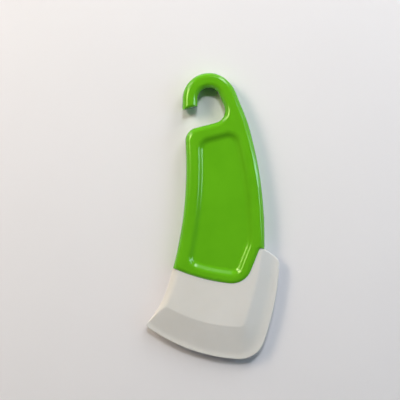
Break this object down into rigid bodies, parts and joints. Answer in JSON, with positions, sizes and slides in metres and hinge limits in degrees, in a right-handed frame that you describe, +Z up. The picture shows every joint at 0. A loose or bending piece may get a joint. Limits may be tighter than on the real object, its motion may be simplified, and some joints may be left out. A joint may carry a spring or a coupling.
{
  "type": "silicone scraper",
  "caption": "Flat kitchen scraper: a soft blade with a long thin wiping lip and a dished grip that ends in an open hanging hook, over a hidden stiffening plate.",
  "frame": {"origin": "under the middle of the plan, in the plane of the handle's lower rim", "axes": "+Y from the wiping lip towards the hanging hook, +X towards the heel of the blade, +Z up out of the flat plan"},
  "size_m": [0.0744, 0.1598, 0.01],
  "materials": {
    "green_polypropylene": "glossy moulded",
    "white_silicone": "matte moulded",
    "black_nylon": "as moulded"
  },
  "bodies": {
    "root": {"handle": "green_polypropylene", "blade": "white_silicone", "core_plate": "black_nylon"}
  },
  "joints": []
}
